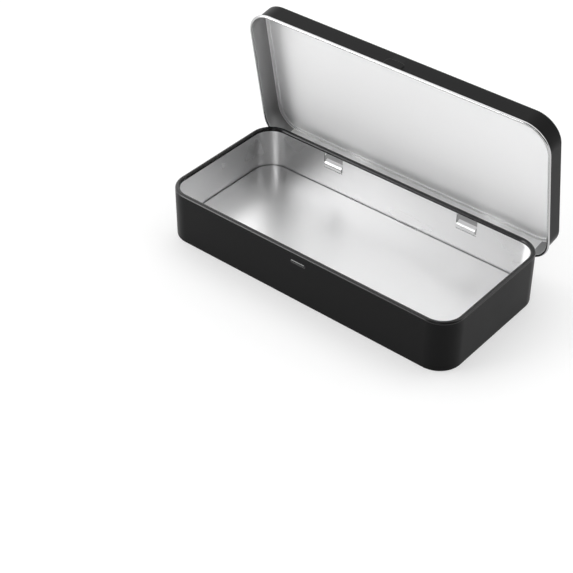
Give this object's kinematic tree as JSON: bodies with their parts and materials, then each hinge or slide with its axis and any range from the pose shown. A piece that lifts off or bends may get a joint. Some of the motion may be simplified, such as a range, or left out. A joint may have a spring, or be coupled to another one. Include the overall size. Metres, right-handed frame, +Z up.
{
  "type": "hinged card tin",
  "caption": "Shallow rectangular tinplate tin with round corners and a hinged lid, satin black outside and bare metal inside, standing open on its stop.",
  "frame": {"origin": "centre of the base's footprint, on the ground", "axes": "+X along the tin, +Y towards the hinge, +Z up"},
  "size_m": [0.1844, 0.0964, 0.1052],
  "materials": {
    "black_enamel": "satin black lacquer, sheet's inner face left bare",
    "bare_tinplate": "bright rolled tinplate with a soft sheen"
  },
  "bodies": {
    "base": {"base": "black_enamel"},
    "lid": {"lid": "black_enamel", "hinge_clip_left": "bare_tinplate", "hinge_clip_right": "bare_tinplate"}
  },
  "joints": [
    {"name": "lid_hinge", "type": "hinge", "parent": "base", "child": "lid", "pos_m": [0, 0.04292, 0.0192], "axis": [1, 0, 0], "range_deg": [0, 80]}
  ]
}
